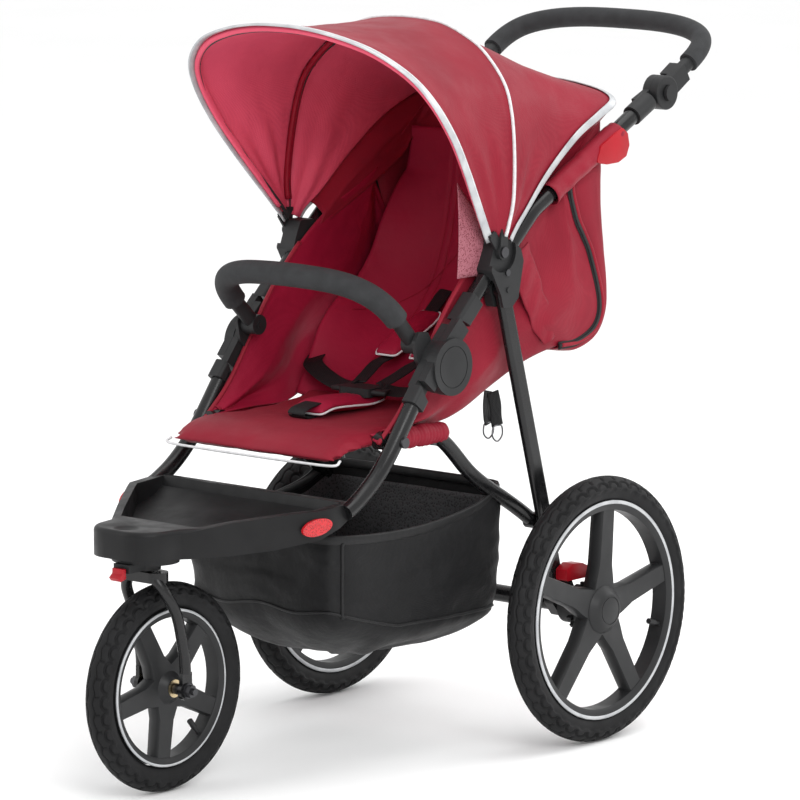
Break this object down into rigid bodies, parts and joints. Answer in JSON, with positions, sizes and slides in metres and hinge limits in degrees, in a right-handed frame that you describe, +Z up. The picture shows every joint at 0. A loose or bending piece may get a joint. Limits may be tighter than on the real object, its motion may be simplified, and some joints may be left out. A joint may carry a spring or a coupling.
{
  "type": "jogging stroller",
  "caption": "Three-wheeled jogging stroller with folding tube frame, swivel front wheel, tilting push handle, two-hoop canopy, bumper bar, footrest tray and storage basket.",
  "frame": {"origin": "on the ground, under the middle of the whole stroller", "axes": "+Z up, -Y the way the stroller faces, +X its left side"},
  "size_m": [0.5772, 1.218, 1.0832],
  "materials": {
    "frame_tube": "glossy black powder coat",
    "joint_plastic": "satin dark grey",
    "tray_plastic": "fine grained black",
    "wheel_plastic": "satin charcoal",
    "tyre": "black rubber",
    "valve": "black",
    "steel": "dark plated",
    "bearing": "machined",
    "foam": "closed cell foam",
    "red_plastic": "gloss red",
    "red_fabric": "satin polyester",
    "black_fabric": "woven polyester"
  },
  "bodies": {
    "front_frame": {"lower_tube_left": "frame_tube", "lower_tube_right": "frame_tube", "lower_hinge_left": "joint_plastic", "lower_hinge_right": "joint_plastic", "footrest_tray": "tray_plastic", "reflectors": "red_plastic", "swivel_housing": "joint_plastic", "seat_bolts": "steel", "bumper_brackets": "joint_plastic", "basket": "black_fabric"},
    "swivel_lock": {"swivel_lock": "red_plastic"},
    "fork": {"fork": "frame_tube", "front_axle": "steel"},
    "front_wheel": {"front_tyre": "tyre", "front_rim": "wheel_plastic", "front_bearings": "bearing", "front_valve": "valve"},
    "upper_frame": {"upper_tube_left": "frame_tube", "upper_tube_right": "frame_tube", "upper_hinge_left": "joint_plastic", "upper_hinge_right": "joint_plastic", "hinge_bracket_left": "joint_plastic", "hinge_bracket_right": "joint_plastic", "bracket_bolts": "steel", "handle_tube_left": "frame_tube", "handle_tube_right": "frame_tube", "handle_socket_left": "joint_plastic", "handle_socket_right": "joint_plastic", "backrest": "red_fabric", "back_pouch": "red_fabric", "shoulder_pads": "red_fabric"},
    "handle": {"push_handle": "frame_tube", "handle_grip": "foam", "handle_discs": "joint_plastic"},
    "handle_button_left": {"handle_button_left": "joint_plastic"},
    "handle_button_right": {"handle_button_right": "joint_plastic"},
    "fold_trigger_left": {"fold_trigger_left": "red_plastic"},
    "fold_trigger_right": {"fold_trigger_right": "red_plastic"},
    "canopy_mid": {"canopy_mid_hoop": "joint_plastic", "canopy_rear_panel": "red_fabric"},
    "canopy_front": {"canopy_front_hoop": "joint_plastic", "canopy_front_panel": "red_fabric"},
    "rear_legs": {"rear_leg_left": "frame_tube", "rear_leg_right": "frame_tube", "rear_axle": "frame_tube", "brake_housings": "joint_plastic"},
    "rear_wheel_left": {"rear_tyre_left": "tyre", "rear_rim_left": "wheel_plastic", "rear_valve_left": "valve"},
    "rear_wheel_right": {"rear_tyre_right": "tyre", "rear_rim_right": "wheel_plastic", "rear_valve_right": "valve"},
    "brake": {"brake_pedals": "red_plastic"},
    "seat": {"seat_tubes": "frame_tube", "seat_cushion": "red_fabric", "crotch_strap": "red_fabric", "buckle": "joint_plastic"},
    "bumper": {"bumper_bar": "joint_plastic", "bumper_pad": "foam"}
  },
  "joints": [
    {"name": "frame_fold", "type": "hinge", "parent": "front_frame", "child": "upper_frame", "pos_m": [0, -0.06, 0.589], "axis": [1, 0, 0], "range_deg": [0, 94], "deforming": ["shoulder_pads"]},
    {"name": "rear_leg_fold", "type": "hinge", "parent": "upper_frame", "child": "rear_legs", "pos_m": [0, 0.058, 0.69], "axis": [1, 0, 0], "range_deg": [-39.6, 0]},
    {"name": "seat_fold", "type": "hinge", "parent": "front_frame", "child": "seat", "pos_m": [0, -0.164, 0.49], "axis": [1, 0, 0], "range_deg": [0, 41.5]},
    {"name": "front_swivel", "type": "hinge", "parent": "front_frame", "child": "fork", "pos_m": [0, -0.493, 0.33], "axis": [0, 0, 1], "continuous": true},
    {"name": "front_wheel_spin", "type": "hinge", "parent": "fork", "child": "front_wheel", "pos_m": [0, -0.457, 0.152], "axis": [1, 0, 0], "continuous": true},
    {"name": "swivel_lock_lift", "type": "hinge", "parent": "front_frame", "child": "swivel_lock", "pos_m": [0, -0.547, 0.335], "axis": [-1, 0, 0], "range_deg": [0, 25]},
    {"name": "handle_tilt", "type": "hinge", "parent": "upper_frame", "child": "handle", "pos_m": [0, 0.441, 0.951], "axis": [1, 0, 0], "range_deg": [-45, 45]},
    {"name": "handle_button_left_press", "type": "slide", "parent": "handle", "child": "handle_button_left", "axis": [-1, 0, 0], "range_m": [0, 0.004], "stiffness_N_per_m": 400},
    {"name": "handle_button_right_press", "type": "slide", "parent": "handle", "child": "handle_button_right", "axis": [1, 0, 0], "range_m": [0, 0.004], "stiffness_N_per_m": 400},
    {"name": "fold_trigger_left_pull", "type": "slide", "parent": "upper_frame", "child": "fold_trigger_left", "axis": [0, 0.8885, 0.4588], "range_m": [0, 0.012], "stiffness_N_per_m": 300, "springref_m": -0.004},
    {"name": "fold_trigger_right_pull", "type": "slide", "parent": "upper_frame", "child": "fold_trigger_right", "axis": [0, 0.8885, 0.4588], "range_m": [0, 0.012], "stiffness_N_per_m": 300, "springref_m": -0.004},
    {"name": "canopy_mid_fold", "type": "hinge", "parent": "upper_frame", "child": "canopy_mid", "pos_m": [0, 0.046, 0.747], "axis": [-1, 0, 0], "range_deg": [0, 40], "deforming": ["canopy_rear_panel"]},
    {"name": "canopy_front_fold", "type": "hinge", "parent": "canopy_mid", "child": "canopy_front", "pos_m": [0, 0.046, 0.747], "axis": [-1, 0, 0], "range_deg": [0, 22], "deforming": ["canopy_front_panel"]},
    {"name": "rear_wheel_left_spin", "type": "hinge", "parent": "rear_legs", "child": "rear_wheel_left", "pos_m": [0.2636, 0.206, 0.2], "axis": [1, 0, 0], "continuous": true},
    {"name": "rear_wheel_right_spin", "type": "hinge", "parent": "rear_legs", "child": "rear_wheel_right", "pos_m": [-0.2636, 0.206, 0.2], "axis": [1, 0, 0], "continuous": true},
    {"name": "brake_press", "type": "hinge", "parent": "rear_legs", "child": "brake", "pos_m": [0, 0.192, 0.25], "axis": [-1, 0, 0], "range_deg": [0, 14]},
    {"name": "bumper_swing", "type": "hinge", "parent": "front_frame", "child": "bumper", "pos_m": [0, -0.091, 0.622], "axis": [1, 0, 0], "range_deg": [0, 60]}
  ],
  "couplings": [
    {"joint": "rear_leg_fold", "follows": "frame_fold", "ratio": -0.42},
    {"joint": "seat_fold", "follows": "frame_fold", "ratio": 0.44}
  ]
}
